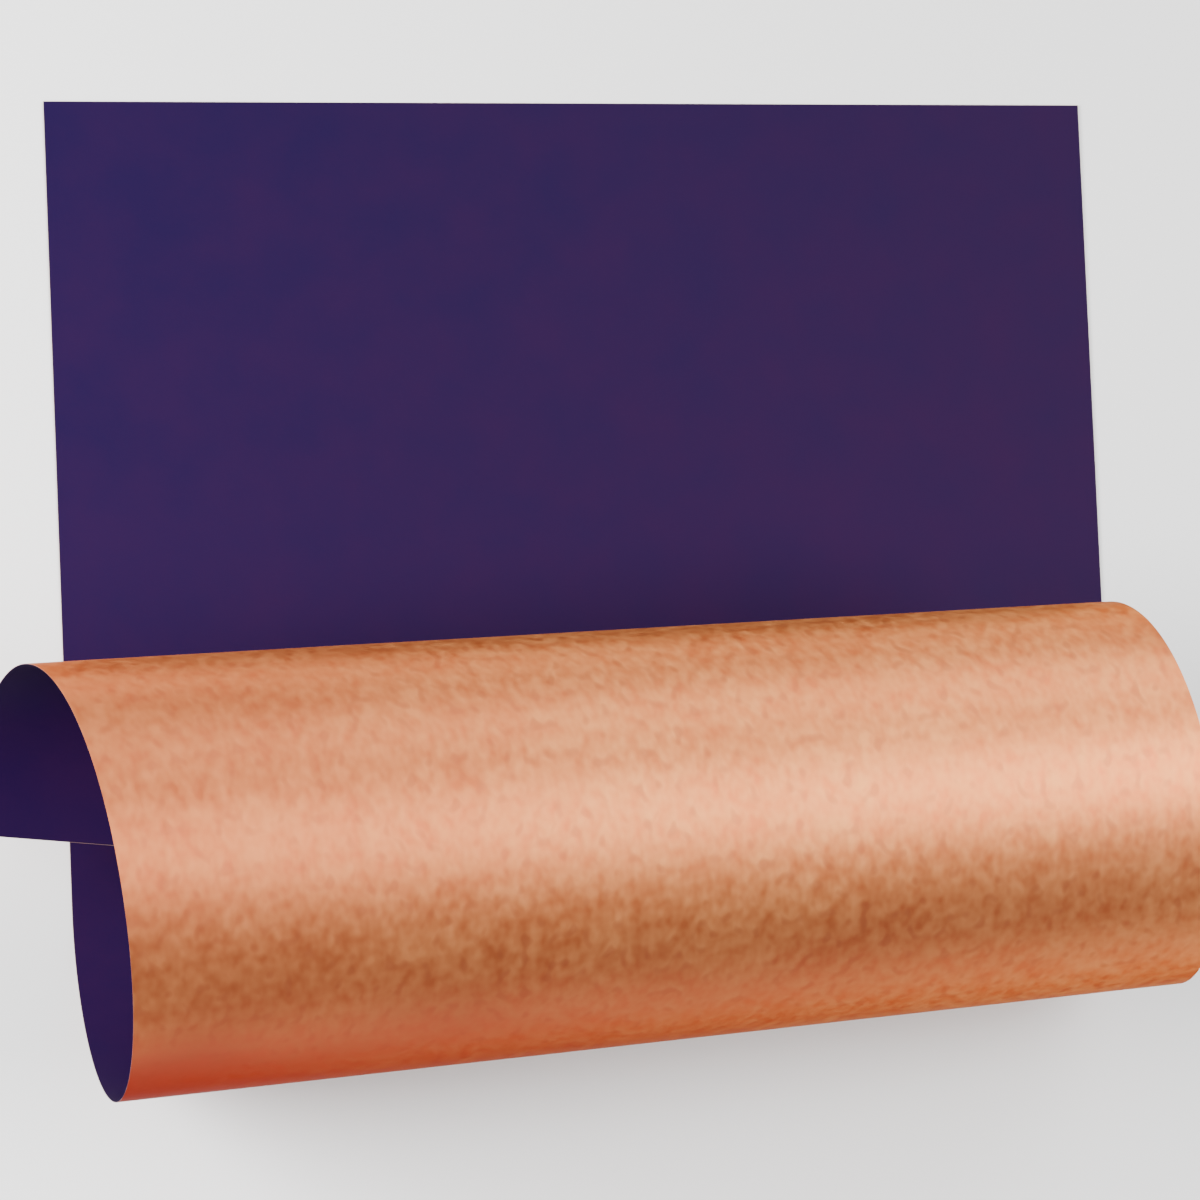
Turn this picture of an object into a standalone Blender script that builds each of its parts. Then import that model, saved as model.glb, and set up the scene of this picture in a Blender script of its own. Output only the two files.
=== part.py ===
"""A sheet of self-adhesive copper foil on its release liner, with its near end curled up and over.

The sheet is three layers: copper foil, adhesive coat and release liner. It lies on z = 0 with the
liner up, +X across the sheet and +Y away from the curl. The near end rises from the table, turns
over once and ends inside its own curl, with the copper outside.

Flat places on the sheet are (across, along, up). Along is 0 where the middle of the sheet leaves
the table, and negative towards the free end. The curl is a slightly tapered cone: its fold lines
all pass through one apex far out on the right. The curl is divided along fold lines into strips of
equal turn, each hinged on the one before, so that the curl opens out flat.
"""

import math

import bmesh
import bpy
import numpy as np
from mathutils import Matrix, Vector

# The sheet, in metres.
SHEET_WIDTH = 0.3048
SHEET_LENGTH = 0.5588
FLAT_LENGTH = 0.2150  # from the far edge to where the middle of the sheet leaves the table

# The layers, from the copper side up.
FOIL_THICKNESS = 0.000032
ADHESIVE_THICKNESS = 0.000038
LINER_THICKNESS = 0.000110
LINER_INSET = 0.0001  # how far the liner stops short of the foil's cut edges
LAYER_GAP = 0.00001

# The curl.
CURL_TURN = math.radians(389.5)  # along the middle of the sheet
BEND_PROFILE = (1.044, 0.833, 0.796, 1.327, 1.046)  # relative bend at even steps along the curl
CURL_SKEW = math.radians(3.29)  # of the first fold line to the sheet's width
APEX_DISTANCE = 3.333  # from the middle of the sheet to where the fold lines meet

# The strips that let the curl open.
STRIP_COUNT = 19
FACETS_PER_STRIP = 4  # even, so that each hinge lies on a fold line
STRIP_GAP = 0.0003
HINGE_MARK = 0.009  # drawn size of the empty at each hinge

SAMPLES = 4000  # points at which the turn is summed along the curl
FINISHES = {  # colour, metallic, roughness
    "copper_foil": ((0.72, 0.32, 0.18), 1.0, 0.35),
    "adhesive": ((0.20, 0.15, 0.13), 0.0, 0.40),
    "release_liner": ((0.035, 0.020, 0.085), 0.0, 0.55),
}

UP = Vector((0, 0, 1))
curl_length = SHEET_LENGTH - FLAT_LENGTH
apex = Vector((APEX_DISTANCE * math.cos(CURL_SKEW), APEX_DISTANCE * math.sin(CURL_SKEW), 0))
middle_of_flat = Vector((0, FLAT_LENGTH / 2, 0))


def clear_scene():
    for thing in list(bpy.data.objects):
        bpy.data.objects.remove(thing, do_unlink=True)


def line_on_sheet(angle):
    """Direction, on the flat sheet, from the apex along the fold line at that fan angle."""
    return Vector((-math.cos(angle + CURL_SKEW), -math.sin(angle + CURL_SKEW), 0))


def onward(angle):
    """Direction, on the flat sheet, square to the fold line and towards the free end."""
    return line_on_sheet(angle).cross(-UP)


def fan_angle(place):
    """The angle at the apex from the first fold line to a place on the flat sheet."""
    return math.atan2((place - apex).dot(onward(0)), (place - apex).dot(line_on_sheet(0)))


def turn_along_curl(last):
    """Distances along the curl, up to last, and how far the sheet has turned at each."""
    distance = np.linspace(0, last, SAMPLES)
    stations = np.linspace(0, curl_length, len(BEND_PROFILE))
    mean = (sum(BEND_PROFILE) - (BEND_PROFILE[0] + BEND_PROFILE[-1]) / 2) / (len(BEND_PROFILE) - 1)
    bend = CURL_TURN / curl_length * np.interp(distance, stations, BEND_PROFILE) / mean
    steps = (bend[1:] + bend[:-1]) / 2 * np.diff(distance)
    return distance, np.concatenate([[0], np.cumsum(steps)])


# The sheet turns furthest at its corner next to the apex, where the last strip ends.
last_corner = Vector((SHEET_WIDTH / 2, -curl_length, 0))
distances, turns = turn_along_curl(fan_angle(last_corner) * APEX_DISTANCE)
facet_turn = float(turns[-1]) / ((STRIP_COUNT + 0.5) * FACETS_PER_STRIP)
facet_count = round((STRIP_COUNT + 0.5) * FACETS_PER_STRIP)  # the first half strip is on the flat part


def roll_up():
    """Every fold line's fan angle, its direction in space and the sheet's normal there, a facet apart."""
    angles = np.interp(np.arange(facet_count + 1) * facet_turn, turns, distances) / APEX_DISTANCE
    line, normal = line_on_sheet(0), UP.copy()
    lines = [(0.0, line, normal)]
    for before, angle in zip(angles[:-1], angles[1:]):
        step = float(angle - before)
        swing = normal * step + line * facet_turn  # the fan opens about the normal, the sheet turns about the line
        turn = Matrix.Rotation(swing.length, 3, swing.normalized())
        line, normal = turn @ line, turn @ normal
        lines.append((float(angle), line, normal))
    return lines


fold_lines = roll_up()


def formed(place):
    """Where a place (across, along, up) on the flat sheet lies once the sheet is curled."""
    flat = Vector((place.x, place.y, 0))
    angle = fan_angle(flat)
    if angle <= 0:
        return place - middle_of_flat
    number = next((i for i in range(1, facet_count) if fold_lines[i][0] >= angle), facet_count)
    (angle_a, line_a, normal_a), (angle_b, line_b, normal_b) = fold_lines[number - 1 : number + 1]
    flat_a, flat_b = line_on_sheet(angle_a), line_on_sheet(angle_b)
    whole = flat_a.cross(flat_b).z
    along_a = (flat - apex).cross(flat_b).z / whole
    along_b = flat_a.cross(flat - apex).z / whole
    share = along_b / (along_a + along_b)
    normal = normal_a.lerp(normal_b, share)
    return apex + line_a * along_a + line_b * along_b + normal * place.z - middle_of_flat


def hinge_line(number):
    """The fold line that strip number is hinged on, counted from 1: angle, direction and normal."""
    return fold_lines[round((number - 0.5) * FACETS_PER_STRIP)]


def facet_angles(number):
    """Fan angles of the fold lines inside strip number; 0 is the half strip on the flat part."""
    first = 0 if number == 0 else round((number - 0.5) * FACETS_PER_STRIP) + 1
    last = round((number + 0.5) * FACETS_PER_STRIP)
    return [fold_lines[i][0] for i in range(first, last)]


def cut(bm, angle, shift=0.0, drop=None):
    """Cuts the flat plate along a fold line. drop is "before" or "after" the line, or None to score it only."""
    done = bmesh.ops.bisect_plane(
        bm,
        geom=list(bm.verts) + list(bm.edges) + list(bm.faces),
        dist=1e-7,
        plane_co=apex + onward(angle) * shift,
        plane_no=onward(angle),
        clear_inner=drop == "before",
        clear_outer=drop == "after",
    )
    if drop is not None:
        rim = [e for e in done["geom_cut"] if isinstance(e, bmesh.types.BMEdge)]
        bmesh.ops.edgeloop_fill(bm, edges=rim)


def layer_mesh(name, low, high, inset, number):
    """One layer of the flat part (number 0) or of a strip, cut flat and then formed."""
    bm = bmesh.new()
    size = Vector((SHEET_WIDTH - 2 * inset, SHEET_LENGTH - 2 * inset, high - low))
    centre = Vector((0, FLAT_LENGTH - SHEET_LENGTH / 2, (low + high) / 2))
    bmesh.ops.create_cube(bm, size=1, matrix=Matrix.LocRotScale(centre, None, size))
    if number > 0:
        cut(bm, hinge_line(number)[0], STRIP_GAP / 2, "before")
    if number < STRIP_COUNT:
        cut(bm, hinge_line(number + 1)[0], -STRIP_GAP / 2, "after")
    for angle in facet_angles(number):
        cut(bm, angle)
    bmesh.ops.recalc_face_normals(bm, faces=bm.faces)
    for vertex in bm.verts:
        vertex.co = formed(vertex.co)
    mesh = bpy.data.meshes.new(name)
    bm.to_mesh(mesh)
    bm.free()
    return mesh


def material(layer):
    """The layer's Principled material, made once."""
    made = bpy.data.materials.get(layer)
    if made is None:
        colour, metallic, roughness = FINISHES[layer]
        made = bpy.data.materials.new(layer)
        made.use_nodes = True
        shader = made.node_tree.nodes["Principled BSDF"]
        shader.inputs["Base Color"].default_value = (*colour, 1)
        shader.inputs["Metallic"].default_value = metallic
        shader.inputs["Roughness"].default_value = roughness
        made.diffuse_color = (*colour, 1)
    return made


def hinge_empty(number, parent):
    """An empty on the hinge of strip number: its X axis is the hinge axis, and a positive turn opens the curl."""
    _, line, normal = hinge_line(number)
    on_axis = apex + line * APEX_DISTANCE - middle_of_flat
    axes = Matrix((-line, line.cross(normal), normal)).transposed()
    empty = bpy.data.objects.new(f"hinge_{number:02d}", None)
    empty.empty_display_size = HINGE_MARK
    bpy.context.collection.objects.link(empty)
    empty.parent = parent
    empty.matrix_world = Matrix.Translation(on_axis) @ axes.to_4x4()
    bpy.context.view_layer.update()
    return empty


def add_layer(layer, low, high, inset, number, parent):
    """Adds one layer of the flat part or of a strip, parented to its hinge."""
    name = f"{layer}_flat" if number == 0 else f"{layer}_curl_{number:02d}"
    mesh = layer_mesh(name, low, high, inset, number)
    mesh.materials.append(material(layer))
    thing = bpy.data.objects.new(name, mesh)
    bpy.context.collection.objects.link(thing)
    if parent is not None:
        mesh.transform(parent.matrix_world.inverted())
        thing.parent = parent
    return thing


def build():
    clear_scene()
    adhesive_low = FOIL_THICKNESS + LAYER_GAP
    adhesive_high = adhesive_low + ADHESIVE_THICKNESS
    liner_low = adhesive_high + LAYER_GAP
    liner_high = liner_low + LINER_THICKNESS
    hinge = None
    for number in range(STRIP_COUNT + 1):
        if number > 0:
            hinge = hinge_empty(number, hinge)
        add_layer("copper_foil", 0, FOIL_THICKNESS, 0, number, hinge)
        add_layer("adhesive", adhesive_low, adhesive_high, 0, number, hinge)
        add_layer("release_liner", liner_low, liner_high, LINER_INSET, number, hinge)
    bpy.context.view_layer.update()


build()
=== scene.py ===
"""A sheet of self-adhesive copper foil on a dark release liner, with its near end curled up and over.

The foil, its adhesive and the liner are bonded, so all three follow one bend. Each layer of the curled
end is made in lengths that reach from the middle of one strip of the frame to the middle of the next.
"""

import math

import bpy
import numpy as np
from mathutils import Euler, Matrix, Vector


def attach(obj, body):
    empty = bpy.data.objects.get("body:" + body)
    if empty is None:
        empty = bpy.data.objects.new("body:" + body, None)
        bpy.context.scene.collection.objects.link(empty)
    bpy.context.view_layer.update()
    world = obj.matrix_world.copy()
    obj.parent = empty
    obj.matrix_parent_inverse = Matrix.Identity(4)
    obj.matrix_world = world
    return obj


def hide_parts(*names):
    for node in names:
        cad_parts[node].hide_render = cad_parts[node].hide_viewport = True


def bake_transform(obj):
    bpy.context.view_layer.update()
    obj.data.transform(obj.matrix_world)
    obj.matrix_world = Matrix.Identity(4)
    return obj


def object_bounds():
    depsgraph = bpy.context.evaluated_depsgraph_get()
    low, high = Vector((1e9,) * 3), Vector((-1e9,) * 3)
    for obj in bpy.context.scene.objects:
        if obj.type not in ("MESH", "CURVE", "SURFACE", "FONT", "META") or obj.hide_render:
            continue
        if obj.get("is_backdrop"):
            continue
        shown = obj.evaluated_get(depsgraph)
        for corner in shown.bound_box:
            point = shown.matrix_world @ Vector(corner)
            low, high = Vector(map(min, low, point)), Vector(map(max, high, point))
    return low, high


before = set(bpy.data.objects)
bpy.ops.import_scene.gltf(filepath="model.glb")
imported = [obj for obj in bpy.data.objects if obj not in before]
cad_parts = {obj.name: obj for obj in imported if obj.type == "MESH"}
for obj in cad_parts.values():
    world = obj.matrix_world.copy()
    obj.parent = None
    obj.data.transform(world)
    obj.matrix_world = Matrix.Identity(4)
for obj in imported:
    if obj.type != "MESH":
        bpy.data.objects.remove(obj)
cad_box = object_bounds()


# ---------------------------------------------------------------------------------------------
# Copper foil. Soft rolled copper 0.032 mm thick, slit to a sheet, with a clear lacquer that keeps
# it bright. It lies bright side down, and its near end is curled over so that the copper shows.
# ---------------------------------------------------------------------------------------------

SHEET_WIDTH = 0.3048
SHEET_LENGTH = 0.5588
FLAT_LENGTH = 0.2150  # from the far edge to where the middle of the sheet leaves the table
CURL_TURN = math.radians(389.5)  # along the middle of the sheet
BEND_PROFILE = (1.044, 0.833, 0.796, 1.327, 1.046)  # relative bend at even steps along the curl
CURL_SKEW = math.radians(3.29)  # of the first fold line to the sheet's width
APEX_DISTANCE = 3.333  # from the middle of the sheet to where the fold lines meet
STRIP_COUNT = 19  # the strips of the frame, each hinged on the one before
FOLDS_PER_STRIP = 4
LINES_PER_FOLD = 4  # lines across the sheet from one fold line to the next
FLAT_LINES = 45
FOIL_THICKNESS = 0.000032
TURN_SAMPLES = 4000  # points at which the turn is summed along the curl

UP = Vector((0, 0, 1))
curl_length = SHEET_LENGTH - FLAT_LENGTH
apex = Vector((APEX_DISTANCE * math.cos(CURL_SKEW), APEX_DISTANCE * math.sin(CURL_SKEW), 0))
middle_of_flat = Vector((0, FLAT_LENGTH / 2, 0))


def line_on_sheet(angle):
    """Direction, on the flat sheet, from the apex along the line at that fan angle."""
    return Vector((-math.cos(angle + CURL_SKEW), -math.sin(angle + CURL_SKEW), 0))


def fan_angle(place):
    """The angle at the apex from the first fold line to a place on the flat sheet."""
    line = line_on_sheet(0)
    return math.atan2((place - apex).dot(line.cross(-UP)), (place - apex).dot(line))


def turn_along_curl(last):
    """Distances along the curl, up to last, and how far the sheet has turned at each."""
    distance = np.linspace(0, last, TURN_SAMPLES)
    stations = np.linspace(0, curl_length, len(BEND_PROFILE))
    mean = (sum(BEND_PROFILE) - (BEND_PROFILE[0] + BEND_PROFILE[-1]) / 2) / (len(BEND_PROFILE) - 1)
    bend = CURL_TURN / curl_length * np.interp(distance, stations, BEND_PROFILE) / mean
    return distance, np.concatenate([[0], np.cumsum((bend[1:] + bend[:-1]) / 2 * np.diff(distance))])


last_corner = Vector((SHEET_WIDTH / 2, -curl_length, 0))
distances, turns = turn_along_curl(fan_angle(last_corner) * APEX_DISTANCE)
fold_count = round((STRIP_COUNT + 0.5) * FOLDS_PER_STRIP)
fold_turn = float(turns[-1]) / fold_count
fold_angles = np.interp(np.arange(fold_count + 1) * fold_turn, turns, distances) / APEX_DISTANCE


def swung(line, normal, step, share):
    """The line and normal a share of one fold further on; the fan opens by step over the whole fold."""
    swing = normal * step + line * fold_turn
    turn = Matrix.Rotation(swing.length * share, 3, swing.normalized())
    return turn @ line, turn @ normal


folds = [(line_on_sheet(0), UP)]
for step in np.diff(fold_angles):
    folds.append(swung(*folds[-1], float(step), 1))


def in_curl(angle):
    """At a fan angle: the direction in space of the sheet's line, its normal, and its fold count."""
    count = float(np.interp(angle, fold_angles, np.arange(fold_count + 1)))
    fold = min(int(count), fold_count - 1)
    step = float(fold_angles[fold + 1] - fold_angles[fold])
    return *swung(*folds[fold], step, count - fold), count


def lines_across(inset):
    """Straight lines across the sheet, from its far edge to its free corner, cut back by inset at each edge.

    Each is its fold count, its ends on the flat sheet, its ends in space, and the sheet's normal.
    """
    half, near = SHEET_WIDTH / 2 - inset, curl_length - inset
    leaves = [apex + line_on_sheet(0) * ((apex.x - x) / math.cos(CURL_SKEW)) for x in (half, -half)]
    lines = []
    for share in np.linspace(1, 0, FLAT_LINES)[:-1]:
        ends = [Vector((p.x, p.y + (FLAT_LENGTH - inset - p.y) * share, 0)) for p in leaves]
        lines.append((-float(share), *ends, *(p - middle_of_flat for p in ends), UP))
    corners = [fan_angle(Vector((x, -near, 0))) for x in (-half, half)]
    steps = np.arange(fold_count * LINES_PER_FOLD + 1) / LINES_PER_FOLD
    angles = np.interp(steps, np.arange(fold_count + 1), fold_angles)
    for angle in sorted([a for a in angles if a < corners[1]] + corners):
        line, normal, count = in_curl(angle)
        reach = [(apex.x - half) / math.cos(angle + CURL_SKEW)]
        left = (apex.x + half) / math.cos(angle + CURL_SKEW)
        reach.append(max(min(left, (apex.y + near) / math.sin(angle + CURL_SKEW)), reach[0]))
        ends = [apex + line_on_sheet(angle) * r for r in reach]
        lines.append((count, *ends, *(apex + line * r - middle_of_flat for r in reach), normal))
    return lines


def guide_mesh(name, inset):
    """The lines across one layer as a mesh: one point for each, which carries it as attributes."""
    lines = lines_across(inset)
    mesh = bpy.data.meshes.new(name)
    mesh.vertices.add(len(lines))
    columns = list(zip(*lines))
    mesh.attributes.new("fold_count", "FLOAT", "POINT").data.foreach_set("value", columns[0])
    names = ("right_on_sheet", "left_on_sheet", "right_end", "left_end", "line_normal")
    for key, column in zip(names, columns[1:]):
        mesh.attributes.new(key, "FLOAT_VECTOR", "POINT").data.foreach_set("vector", np.ravel(column))
    return mesh


MERGE_DISTANCE = 1e-6


class Wire:
    """The output of a node, written in sums as if it were its value."""

    def __init__(self, nodes, socket):
        self.nodes, self.socket = nodes, socket

    def sum(self, operation, *values):
        return self.nodes.add("ShaderNodeMath", {"operation": operation}, dict(enumerate(values)))

    def __add__(self, other):
        return self.sum("ADD", self, other)

    def __radd__(self, other):
        return self.sum("ADD", other, self)

    def __sub__(self, other):
        return self.sum("SUBTRACT", self, other)

    def __rsub__(self, other):
        return self.sum("SUBTRACT", other, self)

    def __mul__(self, other):
        return self.sum("MULTIPLY", self, other)

    def __rmul__(self, other):
        return self.sum("MULTIPLY", other, self)

    def __truediv__(self, other):
        return self.sum("DIVIDE", self, other)

    def __rtruediv__(self, other):
        return self.sum("DIVIDE", other, self)

    def __lt__(self, other):
        return self.sum("LESS_THAN", self, other)

    def __gt__(self, other):
        return self.sum("GREATER_THAN", self, other)

    def __abs__(self):
        return self.sum("ABSOLUTE", self)

    def __round__(self):
        return self.sum("ROUND", self)


class Nodes:
    """Adds nodes to a tree."""

    def __init__(self, tree):
        self.tree = tree

    def add(self, kind, settings=(), sockets=(), out=0):
        """Adds a node, sets it up, fills its sockets with values or wires, and returns an output."""
        node = self.tree.nodes.new(kind)
        for key, value in dict(settings).items():
            setattr(node, key, value)
        for key, value in dict(sockets).items():
            for one in value if isinstance(value, list) else [value]:
                if isinstance(one, Wire):
                    self.tree.links.new(one.socket, node.inputs[key])
                else:
                    node.inputs[key].default_value = one
        return Wire(self, node.outputs[out]) if node.outputs else None

    def scaled(self, vector, scale):
        return self.add("ShaderNodeVectorMath", {"operation": "SCALE"}, {"Vector": vector, "Scale": scale})

    def mix(self, factor, a, b, kind="RGBA"):
        """Mixes two colours or two vectors. Each kind has its own sockets on the one node."""
        first = {"VECTOR": 4, "RGBA": 6}[kind]
        sockets = {0: factor, first: a, first + 1: b}
        return self.add("ShaderNodeMix", {"data_type": kind}, sockets, first // 2 - 1)


def layer_tree():
    """The tree that makes a length of one layer of the sheet from its guide mesh."""
    tree = bpy.data.node_groups.new("curled_layer", "GeometryNodeTree")
    for name, kind in (
        ("Lines", "Geometry"),
        ("Points Across", "Int"),
        ("Line Count", "Int"),
        ("From Fold", "Float"),
        ("To Fold", "Float"),
        ("Low", "Float"),
        ("Thickness", "Float"),
        ("Ripple Height", "Float"),
        ("Ripple Size", "Float"),
        ("Finish", "Material"),
    ):
        tree.interface.new_socket(name=name, in_out="INPUT", socket_type="NodeSocket" + kind)
    tree.interface.new_socket(name="Layer", in_out="OUTPUT", socket_type="NodeSocketGeometry")
    nodes = Nodes(tree)
    given = nodes.add("NodeGroupInput").socket.node
    value = {socket.name: Wire(nodes, socket) for socket in given.outputs if socket.name}

    def named(name, kind="FLOAT_VECTOR"):
        return nodes.add("GeometryNodeInputNamedAttribute", {"data_type": kind}, {"Name": name})

    def store(mesh, name, what, kind="FLOAT_VECTOR", domain="POINT"):
        sockets = {"Geometry": mesh, "Name": name, "Value": what}
        return nodes.add("GeometryNodeStoreNamedAttribute", {"data_type": kind, "domain": domain}, sockets)

    # a unit grid, one row for each line across the sheet
    sockets = {"Vertices X": value["Points Across"], "Vertices Y": value["Line Count"]}
    mesh = nodes.add("GeometryNodeMeshGrid", (), {"Size X": 1.0, "Size Y": 1.0, **sockets})
    place = nodes.add("ShaderNodeSeparateXYZ", (), {0: nodes.add("GeometryNodeInputPosition")})
    along = Wire(nodes, place.socket.node.outputs["Y"])
    row = round((0.5 - along) * (value["Line Count"] - 1))
    mesh = store(mesh, "across", place + 0.5, "FLOAT")
    mesh = store(mesh, "row", row, "FLOAT")

    def of_line(name, kind="FLOAT_VECTOR"):
        sockets = {"Geometry": value["Lines"], "Value": named(name, kind), "Index": named("row", "FLOAT")}
        return nodes.add("GeometryNodeSampleIndex", {"data_type": kind, "clamp": True}, sockets)

    # each point goes between the ends of its line, on the flat sheet and in space
    across = named("across", "FLOAT")
    sheet = nodes.mix(across, of_line("left_on_sheet"), of_line("right_on_sheet"), "VECTOR")
    mesh = store(mesh, "sheet", sheet)
    mesh = store(mesh, "folded", of_line("fold_count", "FLOAT"), "FLOAT")
    mesh = store(mesh, "upright", of_line("line_normal"))
    between = nodes.mix(across, of_line("left_end"), of_line("right_end"), "VECTOR")
    mesh = nodes.add("GeometryNodeSetPosition", (), {"Geometry": mesh, "Position": between})

    # handling has left the sheet very slightly rippled
    noise = nodes.add(
        "ShaderNodeTexNoise",
        {"noise_dimensions": "3D"},
        {"Vector": named("sheet"), "Scale": 1 / value["Ripple Size"], "Detail": 1.0},
    )
    lift = nodes.scaled(named("upright"), noise * value["Ripple Height"] + value["Low"])
    mesh = nodes.add("GeometryNodeSetPosition", (), {"Geometry": mesh, "Offset": lift})
    mesh = store(mesh, "upright", nodes.add("GeometryNodeInputNormal"))

    # only the length asked for is kept, and lines that have shrunk to a corner become one point
    folded = named("folded", "FLOAT")
    outside = (folded < value["From Fold"]) + (folded > value["To Fold"])
    sockets = {"Geometry": mesh, "Selection": outside}
    mesh = nodes.add("GeometryNodeDeleteGeometry", {"domain": "FACE"}, sockets)
    mesh = nodes.add("GeometryNodeMergeByDistance", (), {"Geometry": mesh, "Distance": MERGE_DISTANCE})

    # it gets its thickness, and walls round its edges
    back = store(mesh, "facing", -1.0, "FLOAT", "FACE")
    back = nodes.add("GeometryNodeFlipFaces", (), {"Mesh": back})
    sockets = {"Mesh": mesh, "Offset Scale": 0.0, "Individual": False}
    front = nodes.add("GeometryNodeExtrudeMesh", {"mode": "FACES"}, sockets)
    top = Wire(nodes, front.socket.node.outputs["Top"])
    rise = nodes.scaled(named("upright"), value["Thickness"])
    sockets = {"Geometry": front, "Selection": top, "Offset": rise}
    front = store(nodes.add("GeometryNodeSetPosition", (), sockets), "facing", top, "FLOAT", "FACE")
    mesh = nodes.add("GeometryNodeJoinGeometry", (), {"Geometry": [front, back]})
    mesh = nodes.add("GeometryNodeMergeByDistance", (), {"Geometry": mesh, "Distance": MERGE_DISTANCE})

    # shading follows the whole sheet, so lengths of it meet without a line between them
    facing = named("facing", "FLOAT")
    edge = nodes.scaled(nodes.add("GeometryNodeInputNormal", out="True Normal"), 1 - abs(facing))
    sockets = {0: nodes.scaled(named("upright"), facing), 1: edge}
    normal = nodes.add("ShaderNodeVectorMath", {"operation": "ADD"}, sockets)
    mesh = nodes.add("GeometryNodeSetShadeSmooth", (), {"Geometry": mesh})
    settings = {"mode": "TANGENT_SPACE", "domain": "CORNER"}
    mesh = nodes.add("GeometryNodeSetMeshNormal", settings, {"Mesh": mesh, "Custom Normal": normal})

    for name in ("across", "row", "folded", "upright", "facing"):
        mesh = nodes.add("GeometryNodeRemoveAttribute", (), {"Geometry": mesh, "Name": name})
    mesh = nodes.add("GeometryNodeRealizeInstances", (), {"Geometry": mesh})
    mesh = nodes.add("GeometryNodeSetMaterial", (), {"Geometry": mesh, "Material": value["Finish"]})
    nodes.add("NodeGroupOutput", (), {"Layer": mesh})
    return tree


POINTS_ACROSS = 65
RIPPLE_HEIGHT = 0.00012
RIPPLE_SIZE = 0.045
BEND_MARGIN = 0.001  # a distance in from each end of a length, across its hinge
BEFORE_SHEET = -2  # a fold count below any on the sheet, which starts at -1 at its far edge

curled_layer = layer_tree()


def length_of_layer(name, guide, low, thickness, finish, from_fold, to_fold):
    """One length of a layer, as a plain mesh object."""
    made = bpy.data.objects.new(name, guide)
    bpy.context.scene.collection.objects.link(made)
    modifier = made.modifiers.new("curled_layer", "NODES")
    modifier.node_group = curled_layer
    identifier = {s.name: s.identifier for s in curled_layer.interface.items_tree if s.in_out == "INPUT"}
    for key, value in {
        "Points Across": POINTS_ACROSS,
        "Line Count": len(guide.vertices),
        "From Fold": float(from_fold),
        "To Fold": float(to_fold),
        "Low": low,
        "Thickness": thickness,
        "Ripple Height": RIPPLE_HEIGHT,
        "Ripple Size": RIPPLE_SIZE,
        "Finish": finish,
    }.items():
        modifier[identifier[key]] = value
    shaped = made.evaluated_get(bpy.context.evaluated_depsgraph_get())
    mesh = bpy.data.meshes.new_from_object(shaped)
    made.modifiers.clear()
    made.data = mesh
    mesh.name = name
    return made


def lay_layer(name, cad_layer, inset, low, thickness, finish):
    """One whole layer of the sheet: the flat length, and a length across each fold of the frame."""
    guide = guide_mesh(name + "_lines", inset)
    flat = length_of_layer(name + "_flat_length", guide, low, thickness, finish, BEFORE_SHEET, 0)
    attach(flat, "flat_part")
    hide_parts(cad_layer + "_flat")
    for number in range(1, STRIP_COUNT + 1):
        first, last = (number - 1) * FOLDS_PER_STRIP, number * FOLDS_PER_STRIP
        body_before = "flat_part" if number == 1 else f"curl_strip_{number - 1:02d}"
        body_after = f"curl_strip_{number:02d}"
        upto = last if number < STRIP_COUNT else fold_count
        piece = length_of_layer(f"{name}_length_{number:02d}", guide, low, thickness, finish, first, upto)
        start, end = (apex + folds[i][0] * APEX_DISTANCE - middle_of_flat for i in (first, last))
        hinge = folds[(first + last) // 2][0]
        across_hinge = end - start - hinge * (end - start).dot(hinge)
        margin = across_hinge.normalized() * BEND_MARGIN
        start + margin
        start + across_hinge - margin
        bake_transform(piece)
        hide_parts(f"{cad_layer}_curl_{number:02d}")


def finish_material(name):
    """A new material, the nodes of its tree, and its Principled shader."""
    made = bpy.data.materials.new(name)
    made.use_nodes = True
    return made, Nodes(made.node_tree), made.node_tree.nodes["Principled BSDF"]


def shade(nodes, shader, sockets):
    """Fills sockets of a shader with values or wires."""
    for key, value in sockets.items():
        if isinstance(value, Wire):
            nodes.tree.links.new(value.socket, shader.inputs[key])
        else:
            shader.inputs[key].default_value = value


def place_on_sheet(nodes):
    """Where a point lies on the flat sheet: across, along, up."""
    return nodes.add("ShaderNodeAttribute", {"attribute_name": "sheet"}, (), "Vector")


def cloud(nodes, size, detail=2.0, roughness=0.5, drawn_out=1.0):
    """Soft noise over the sheet, in patches of about that size in metres, drawn out along its length."""
    sockets = {0: place_on_sheet(nodes), 1: (1 / size, 1 / size / drawn_out, 1)}
    place = nodes.add("ShaderNodeVectorMath", {"operation": "MULTIPLY"}, sockets)
    sockets = {"Vector": place, "Scale": 1.0, "Detail": detail, "Roughness": roughness}
    return nodes.add("ShaderNodeTexNoise", {"noise_dimensions": "3D"}, sockets)


def across_sheet(nodes):
    """Distance from the middle of the sheet towards its right edge."""
    return nodes.add("ShaderNodeSeparateXYZ", (), {0: place_on_sheet(nodes)}, "X")


def along_sheet(nodes):
    """Distance along the sheet from where its middle leaves the table, negative in the curl."""
    return nodes.add("ShaderNodeSeparateXYZ", (), {0: place_on_sheet(nodes)}, "Y")


def clamped(nodes, value):
    return nodes.add("ShaderNodeClamp", (), {0: value})


def fade(nodes, value, start, end):
    """Goes smoothly from 0, where the value is start, to 1, where it is end."""
    sockets = {"Value": value, "From Min": start, "From Max": end}
    return nodes.add("ShaderNodeMapRange", {"interpolation_type": "SMOOTHSTEP"}, sockets)


PAINTED_SHADE_FROM, PAINTED_SHADE_TO = -0.152, -0.110  # along the sheet, part of the way up the front of the curl, where painted shade darkens the copper near the table
LEFT_SHADE_FROM, LEFT_SHADE_TO = 0.05, -0.12  # across the sheet, where painted shade makes the copper redder and darker to the left


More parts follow.
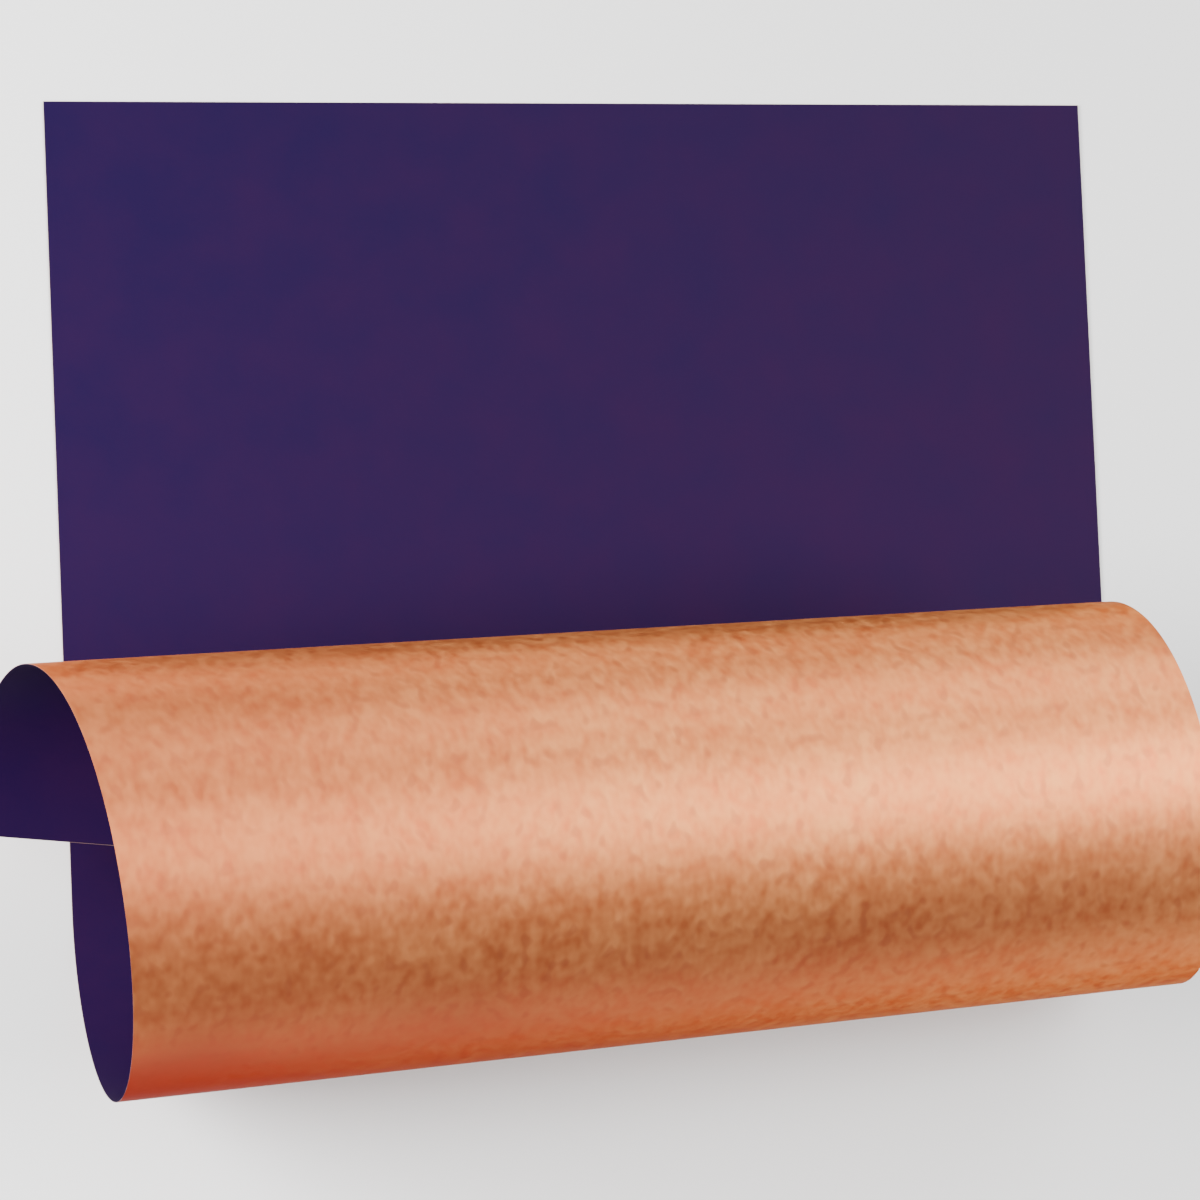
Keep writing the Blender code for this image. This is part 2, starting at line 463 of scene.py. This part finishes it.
def lacquered_copper():
    """Copper speckled by the grain of the sheet, with painted shade that makes it darker near the table and
    redder to the left.
    """
    made, nodes, shader = finish_material("lacquered_copper")
    grain = cloud(nodes, 0.0032, detail=1.0, drawn_out=1.4)
    mottle = cloud(nodes, 0.0085, drawn_out=1.2)
    patches = cloud(nodes, 0.035)
    tone = clamped(nodes, (grain - 0.5) * 1.7 + (mottle - 0.5) + (patches - 0.5) * 0.8 + 0.5)
    dots = clamped(nodes, (cloud(nodes, 0.0034, detail=0.0, drawn_out=1.3) - 0.60) * 6)
    # painted shade: a band up the front of the curl near the table, strongest at the left and weaker to the
    # right
    painted_shade = fade(nodes, along_sheet(nodes) + cloud(nodes, 0.05, detail=1.0) * 0.02, PAINTED_SHADE_FROM, PAINTED_SHADE_TO)
    # painted shade: the copper is made redder and darker towards the left side of the sheet
    left = fade(nodes, across_sheet(nodes) + cloud(nodes, 0.06, detail=1.0) * 0.05, LEFT_SHADE_FROM, LEFT_SHADE_TO)
    colour = nodes.mix(tone, (0.60, 0.165, 0.054, 1), (0.76, 0.300, 0.102, 1))
    colour = nodes.mix(dots * 0.45, colour, (0.46, 0.120, 0.050, 1))
    # painted shade: redder, darker copper mixed in towards the left
    colour = nodes.mix(left * 0.38, colour, (0.62, 0.140, 0.060, 1))
    # painted shade: the band's dark copper colour, strongest at the left
    colour = nodes.mix(painted_shade * (0.60 - across_sheet(nodes) * 2.5), colour, (0.31, 0.062, 0.040, 1))
    sockets = {"Strength": 0.3, "Distance": 0.0002, "Height": grain * 0.6 + mottle}
    bump = nodes.add("ShaderNodeBump", (), sockets)
    shade(nodes, shader, {
        "Base Color": colour,
        "Metallic": 1.0,
        "Specular Tint": (0.30, 0.26, 0.28, 1),
        "Roughness": 0.43 + tone * 0.08,
        "Normal": bump,
    })
    return made


lay_layer("foil", "copper_foil", 0, 0, FOIL_THICKNESS, lacquered_copper())


# ---------------------------------------------------------------------------------------------
# Adhesive. A thin coat of acrylic on the back of the foil, to its very edge. Seen edge on, between the
# foil and the liner, it is a fine dark line.
# ---------------------------------------------------------------------------------------------

LAYER_GAP = 0.00001  # the frame keeps its layers this far apart
ADHESIVE_THICKNESS = 0.000038
adhesive_low = FOIL_THICKNESS + LAYER_GAP


def acrylic_adhesive():
    """A dark gum, faintly mottled."""
    made, nodes, shader = finish_material("acrylic_adhesive")
    tone = cloud(nodes, 0.003)
    shade(nodes, shader, {
        "Base Color": nodes.mix(tone, (0.14, 0.085, 0.070, 1), (0.24, 0.150, 0.120, 1)),
        "Roughness": 0.3 + tone * 0.15,
    })
    return made


lay_layer("adhesive", "adhesive", 0, adhesive_low, ADHESIVE_THICKNESS, acrylic_adhesive())


# ---------------------------------------------------------------------------------------------
# Release liner. Dark indigo coated paper, smooth and matt to satin, that covers the adhesive and is
# peeled off when the foil is used. It is slit a hair narrower than the foil.
# ---------------------------------------------------------------------------------------------

LINER_THICKNESS = 0.000110
LINER_INSET = 0.0001  # how far the liner stops short of the foil's cut edges
liner_low = adhesive_low + ADHESIVE_THICKNESS + LAYER_GAP


def indigo_liner():
    """Indigo paper with faint patches and fibres, and painted light that makes it warmer to the right and
    bluer towards the far edge.
    """
    made, nodes, shader = finish_material("indigo_liner")
    patches = cloud(nodes, 0.022, roughness=0.6)
    fibre = cloud(nodes, 0.0012, detail=3.0, roughness=0.6)
    along = along_sheet(nodes)
    # painted light: warmer to the right and near the copper curl, as light bounced from the copper would
    # make it, and bluer towards the far edge
    painted_light_gradient = across_sheet(nodes) * 1.5 - (along + abs(along)) + 0.25
    tone = clamped(nodes, (patches - 0.5) + (fibre - 0.5) * 0.4 + painted_light_gradient + 0.5)
    bump = nodes.add("ShaderNodeBump", (), {"Strength": 0.25, "Distance": 0.00008, "Height": fibre})
    shade(nodes, shader, {
        "Base Color": nodes.mix(tone, (0.0074, 0.0011, 0.0285, 1), (0.0160, 0.0019, 0.0285, 1)),
        "Specular IOR Level": 0.08,
        "Roughness": 0.55 + tone * 0.08,
        "Normal": bump,
    })
    return made


lay_layer("liner", "release_liner", LINER_INSET, liner_low, LINER_THICKNESS, indigo_liner())


# ---------------------------------------------------------------------------------------------
# Table, light and camera. A plain pale table, three broad soft lights overhead, behind and to the
# left, two smaller ones low on the left and right, and a camera nearly overhead.
# ---------------------------------------------------------------------------------------------

TABLE_HALF = 3
TABLE_TOP = -0.0003  # a hair below the sheet, so that the two faces stay apart


def pale_table():
    made, nodes, shader = finish_material("pale_table")
    shade(nodes, shader, {"Base Color": (0.82, 0.82, 0.82, 1), "Roughness": 0.9})
    return made


table_mesh = bpy.data.meshes.new("table")
corners = [(x * TABLE_HALF, y * TABLE_HALF, TABLE_TOP) for x, y in ((-1, -1), (1, -1), (1, 1), (-1, 1))]
table_mesh.from_pydata(corners, [], [(0, 1, 2, 3)])
table_mesh.materials.append(pale_table())
table = bpy.data.objects.new("table", table_mesh)
bpy.context.scene.collection.objects.link(table)
table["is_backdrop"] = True


def soft_light(name, place, aim, size, power):
    """A rectangular light at a place, turned to its aim, that the camera doesn't see."""
    light = bpy.data.lights.new(name, "AREA")
    light.shape = "RECTANGLE"
    light.size, light.size_y = size
    light.energy = power
    thing = bpy.data.objects.new(name, light)
    bpy.context.scene.collection.objects.link(thing)
    back = (Vector(place) - Vector(aim)).normalized()
    thing.visible_camera = False
    thing.matrix_world = Matrix.Translation(place) @ back.to_track_quat("Z", "Y").to_matrix().to_4x4()


soft_light("overhead", (1.15, -0.08, 1.55), (0, -0.1, 0), (1.2, 1.3), 45)
soft_light("behind", (1.05, 1.5, 1.05), (0, -0.1, 0.05), (1.2, 1.3), 24)
soft_light("left", (-1.15, -0.05, 1.1), (-0.15, -0.1, 0.06), (0.8, 0.8), 20)
soft_light("low_left", (-0.80, 0.0, 0.42), (-0.13, -0.15, 0.03), (0.4, 0.3), 19)
soft_light("low_right", (1.70, -1.05, 0.90), (0.1, -0.15, 0.05), (0.8, 0.8), 7.5)

ROOM_LIGHT = 0.36

room = bpy.data.worlds.new("room")
room.use_nodes = True
room.node_tree.nodes["Background"].inputs["Color"].default_value = (1, 1, 1, 1)
room.node_tree.nodes["Background"].inputs["Strength"].default_value = ROOM_LIGHT
bpy.context.scene.world = room

CAMERA_PLACE = (-0.56128, -0.20798, 1.91174)
CAMERA_TURN = (5.6999, -16.1988, -2.5113)  # degrees about X, Y and Z, from looking straight down

camera_data = bpy.data.cameras.new("camera")
camera_data.lens = 213.22
camera_data.sensor_width = 36
camera_data.clip_end = 10
camera = bpy.data.objects.new("camera", camera_data)
bpy.context.scene.collection.objects.link(camera)
camera_turn = Euler([math.radians(angle) for angle in CAMERA_TURN])
camera.matrix_world = Matrix.LocRotScale(Vector(CAMERA_PLACE), camera_turn, None)
bpy.context.scene.camera = camera

[[list(corner) for corner in box] for box in (cad_box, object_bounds())]
